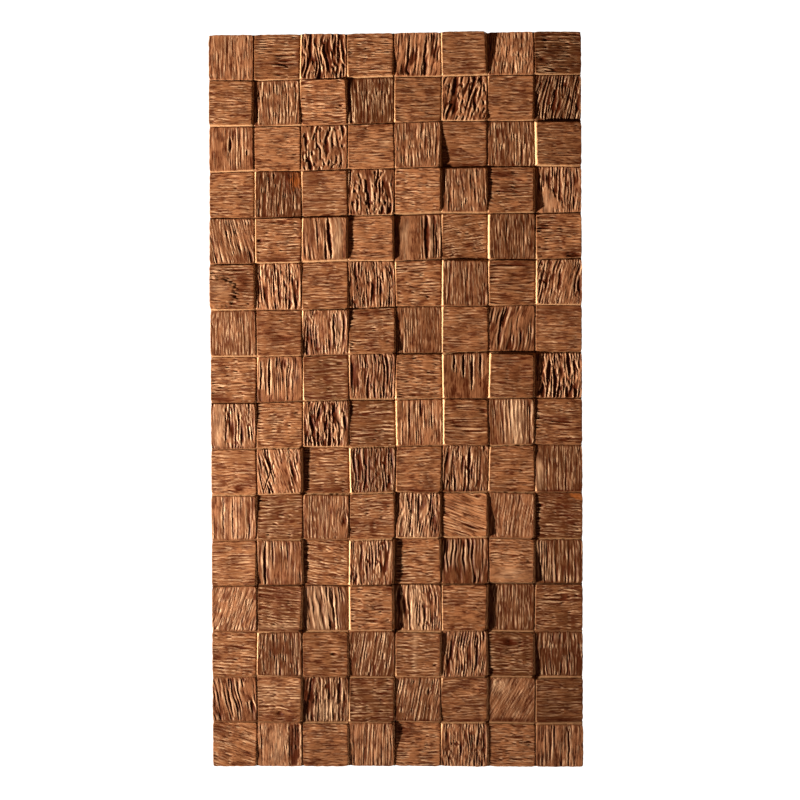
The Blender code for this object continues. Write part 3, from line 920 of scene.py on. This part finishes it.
class Nodes:
    """Short ways to add and join the nodes of a material or of the world, which starts empty."""

    def __init__(self, owner):
        owner.use_nodes = True
        self.tree = owner.node_tree
        self.tree.nodes.clear()

    def add(self, kind, values=None, **settings):
        """A new node with its settings, and with plain values on some of its inputs."""
        node = self.tree.nodes.new("ShaderNode" + kind)
        for name, value in settings.items():
            setattr(node, name, value)
        for name, value in (values or {}).items():
            node.inputs[name].default_value = value
        return node

    def join(self, source, target):
        if hasattr(source, "links"):
            self.tree.links.new(source, target)
        else:
            target.default_value = source

    def math(self, operation, a, b, clamp=False):
        node = self.add("Math", operation=operation, use_clamp=clamp)
        self.join(a, node.inputs[0])
        self.join(b, node.inputs[1])
        return node.outputs[0]

    def plus(self, a, b, clamp=False):
        return self.math("ADD", a, b, clamp)

    def times(self, a, b, clamp=False):
        return self.math("MULTIPLY", a, b, clamp)

    def range(self, value, low, high, to_low=0.0, to_high=1.0):
        node = self.add("MapRange", interpolation_type="SMOOTHSTEP")
        for source, target in zip((value, low, high, to_low, to_high), node.inputs[:5]):
            self.join(source, target)
        return node.outputs[0]

    def mix(self, share, a, b):
        node = self.add("Mix", data_type="RGBA")
        self.join(share, node.inputs["Factor"])
        for colour, target in ((a, node.inputs[6]), (b, node.inputs[7])):
            self.join(colour if hasattr(colour, "links") else (*colour, 1), target)
        return node.outputs[2]

    def attribute(self, name):
        node = self.add("Attribute", attribute_type="GEOMETRY", attribute_name=name)
        parts = self.add("SeparateXYZ")
        self.join(node.outputs["Vector"], parts.inputs[0])
        return node.outputs["Vector"], parts.outputs

    def streaks(self, place, across_mm, along_mm, detail=2.0, roughness=0.55):
        """Noise drawn out along the grain."""
        scaled = self.add("VectorMath", operation="MULTIPLY")
        self.join(place, scaled.inputs[0])
        scaled.inputs[1].default_value = (1 / across_mm, 1 / along_mm, 1.37)
        values = {"Scale": 1.0, "Detail": detail, "Roughness": roughness}
        texture = self.add("TexNoise", values, noise_dimensions="3D")
        self.join(scaled.outputs[0], texture.inputs["Vector"])
        return texture.outputs["Fac"]


def make_paint():
    """Brown paint: dark glaze in hollows, painted shadow by some rims, worn paint and painted highlight on
    ridges, bare rims.
    """
    material = bpy.data.materials.new("painted_polyurethane_wood")
    n = Nodes(material)
    place, _ = n.attribute("grain_place")
    _, (depth, crest, edge) = n.attribute("relief")
    _, (stain, wall, tone) = n.attribute("finish")
    fine = n.streaks(place, 1.0, 24, roughness=0.5)
    middle = n.streaks(place, 3.0, 26)
    broad = n.streaks(place, 14, 40)
    spots = n.streaks(place, 2.4, 3.6)
    dashes = n.streaks(place, 1.0, 16.0, 1.0)
    clouds = n.streaks(place, 9.0, 22.0, 3.0, 0.6)

    # The brown of the block, with short dark streaks along its grain
    level = n.range(tone, 0.4 * LEVEL_SHIFT, 0.6 * LEVEL_SHIFT)
    own = n.math("SUBTRACT", tone, n.times(level, LEVEL_SHIFT))
    shade = n.plus(n.times(own, 0.75), n.times(n.range(broad, 0.3, 0.7), 0.45))
    shade = n.math("MAXIMUM", n.math("SUBTRACT", shade, 0.05), -0.2)
    colour = n.mix(level, n.mix(shade, *UPRIGHT_BROWNS), n.mix(shade, *LEVEL_BROWNS))
    streak = n.range(fine, 0.36, 0.60, 1.0, 0.0)
    dash = n.times(n.range(dashes, 0.53, 0.61), n.range(clouds, 0.40, 0.58, 0.15, 1.0))
    # Dark clouds of soot in the paint, at random over every face
    soot = n.times(n.range(clouds, 0.48, 0.64), 0.62)
    colour = n.mix(soot, colour, DARK_GLAZE)
    colour = n.mix(n.plus(n.times(streak, 0.50), dash, clamp=True), colour, DARK_GLAZE)

    # Ridges lightened by worn paint and painted highlight, glazed hollows with painted shadow, and stains
    patch = n.range(middle, 0.36, 0.70)
    # Ridges lightened with worn paint and painted highlight, less on level grain
    rubbed_and_highlight = n.times(crest, n.plus(0.30, n.times(patch, 0.7)))
    rubbed_and_highlight = n.times(rubbed_and_highlight, n.range(level, 0.0, 1.0, 0.95, 0.7))
    colour = n.mix(rubbed_and_highlight, colour, RUBBED_PAINT_AND_HIGHLIGHT)
    # The glaze field also brings in the darkening marks, soot and painted shadow along some rims
    glaze = n.times(depth, n.plus(0.70, n.times(spots, 0.5)), clamp=True)
    colour = n.mix(n.times(glaze, 0.96), colour, DARK_GLAZE)
    colour = n.mix(n.times(stain, n.range(middle, 0.3, 0.65, 0.15, 0.7)), colour, STAIN_BROWN)

    # Bare rims, and the walls below them
    worn = n.times(n.range(edge, 0.2, 1.0), n.range(spots, 0.35, 0.65, 0.05, 0.5))
    worn = n.times(worn, n.range(wall, 0.7, 1.0, 1.0, 0.0))
    colour = n.mix(worn, colour, BARE_EDGE)
    wall_share = n.times(n.range(wall, 0.02, 0.4), n.range(wall, 0.75, 1.0, 1.0, 0.15))
    wall_share = n.times(wall_share, n.range(edge, 0.0, 1.0, 0.1, 0.75))
    colour = n.mix(wall_share, colour, BARE_EDGE)

    shader = n.add("BsdfPrincipled", {"Specular IOR Level": 0.12})
    n.join(colour, shader.inputs["Base Color"])
    mottle = n.plus(n.times(fine, 0.6), n.times(spots, 0.4))
    n.join(n.range(mottle, 0.3, 0.7, 0.46, 0.64), shader.inputs["Roughness"])
    bump = n.add("Bump", {"Strength": 0.35, "Distance": 0.0005})
    n.join(n.plus(n.times(fine, 0.8), n.times(spots, 0.35)), bump.inputs["Height"])
    n.join(bump.outputs["Normal"], shader.inputs["Normal"])
    n.join(shader.outputs[0], n.add("OutputMaterial").inputs["Surface"])
    return material


PAINT = make_paint()


def build_panel():
    """All the sections, from the top left one to the bottom right one."""
    for row in range(0, ROWS, SECTION_BLOCKS):
        for column in range(0, COLUMNS, SECTION_BLOCKS):
            name = f"panel_section_{row // SECTION_BLOCKS + 1}_{column // SECTION_BLOCKS + 1}"
            make_section(name, range(row, row + SECTION_BLOCKS), range(column, column + SECTION_BLOCKS))


# Studio

# The key is a raking light, near enough to fall off across the panel. Lengths are in metres.
KEY_PLACE = (-2.1, -1.09, -0.45)
KEY_AIM = (-0.1, 0.0, 0.47)
KEY_WATTS = 760.0
KEY_CONE_DEG = 76
KEY_RADIUS = 0.10
KEY_COLOUR = (1.0, 0.93, 0.82)

# Round lamps that fill the shadows and light the back: place, diameter, watts and colour
FILLS = {
    "front_fill": ((0.9, -2.6, 1.3), 1.6, 1.5, (1.0, 0.62, 0.40)),
    "back_fill": ((0.8, 2.4, 1.2), 1.6, 45.0, (1, 1, 1)),
    "side_fill": ((2.4, 0.7, 0.3), 1.2, 32.0, (1, 1, 1)),
    "top_fill": ((0.0, 0.6, 2.4), 1.2, 24.0, (1, 1, 1)),
}
SURROUND_TINT = (1.0, 0.42, 0.15)  # of the little light that the white surround gives the object
SURROUND_STRENGTH = 0.085
FLOOR_CENTRE = (0.0, -0.45, -0.86)
FLOOR_RADIUS = 1.1
CAMERA_PLACE = (0.0687, -2.5, 0.0405)
CAMERA_TURNS_DEG = (90 - 0.895, 0.268, 1.432)
LENS_MM = 69.2


def make_floor():
    """A round pale floor below the panel, which ends before the camera would see it."""
    steps = 96
    turns = [2 * math.pi * i / steps for i in range(steps)]
    x, y, z = FLOOR_CENTRE
    rim = [(x + FLOOR_RADIUS * math.cos(turn), y + FLOOR_RADIUS * math.sin(turn), z) for turn in turns]
    mesh = bpy.data.meshes.new("floor")
    mesh.from_pydata(rim, [], [range(steps)])
    pale = bpy.data.materials.new("pale_floor")
    n = Nodes(pale)
    shader = n.add("BsdfPrincipled", {
        "Base Color": (0.82, 0.81, 0.79, 1), "Roughness": 0.8, "Emission Color": (1, 0.99, 0.97, 1),
    })
    glow = n.times(n.add("LightPath").outputs["Is Camera Ray"], 0.2)
    n.join(glow, shader.inputs["Emission Strength"])
    n.join(shader.outputs[0], n.add("OutputMaterial").inputs["Surface"])
    mesh.materials.append(pale)
    floor = bpy.data.objects.new("floor", mesh)
    bpy.context.scene.collection.objects.link(floor)
    floor.visible_shadow = False


def add_lamp(name, light, place, aim):
    lamp = bpy.data.objects.new(name, light)
    lamp.location = place
    lamp.rotation_euler = (Vector(place) - Vector(aim)).to_track_quat("Z", "Y").to_euler()
    bpy.context.scene.collection.objects.link(lamp)


def make_lights():
    key = bpy.data.lights.new("key", "SPOT")
    key.energy = KEY_WATTS
    key.spot_size = math.radians(KEY_CONE_DEG)
    key.spot_blend = 1.0
    key.shadow_soft_size = KEY_RADIUS
    key.color = KEY_COLOUR
    add_lamp("key", key, KEY_PLACE, KEY_AIM)
    for name, (place, diameter, watts, colour) in FILLS.items():
        area = bpy.data.lights.new(name, "AREA")
        area.shape = "DISK"
        area.size = diameter
        area.energy = watts
        area.color = colour
        add_lamp(name, area, place, (0, 0, 0))


def make_world():
    """A white surround for the camera that gives the object only a little light."""
    world = bpy.data.worlds.new("studio")
    n = Nodes(world)
    path = n.add("LightPath")
    seen = n.add("Background", {"Color": (1, 1, 1, 1)})
    lit = n.add("Background", {"Color": (*SURROUND_TINT, 1), "Strength": SURROUND_STRENGTH})
    mix = n.add("MixShader")
    for source, target in zip((path.outputs["Is Camera Ray"], lit.outputs[0], seen.outputs[0]), mix.inputs):
        n.join(source, target)
    n.join(mix.outputs[0], n.add("OutputWorld").inputs["Surface"])
    bpy.context.scene.world = world


def make_camera():
    data = bpy.data.cameras.new("camera")
    data.sensor_width = 36
    data.lens = LENS_MM
    camera = bpy.data.objects.new("camera", data)
    camera.location = CAMERA_PLACE
    camera.rotation_euler = [math.radians(turn) for turn in CAMERA_TURNS_DEG]
    bpy.context.scene.collection.objects.link(camera)
    bpy.context.scene.camera = camera


build_panel()
make_floor()
make_lights()
make_world()
make_camera()
bpy.context.scene.view_settings.view_transform = "Standard"
bpy.context.scene.view_settings.look = "Medium High Contrast"
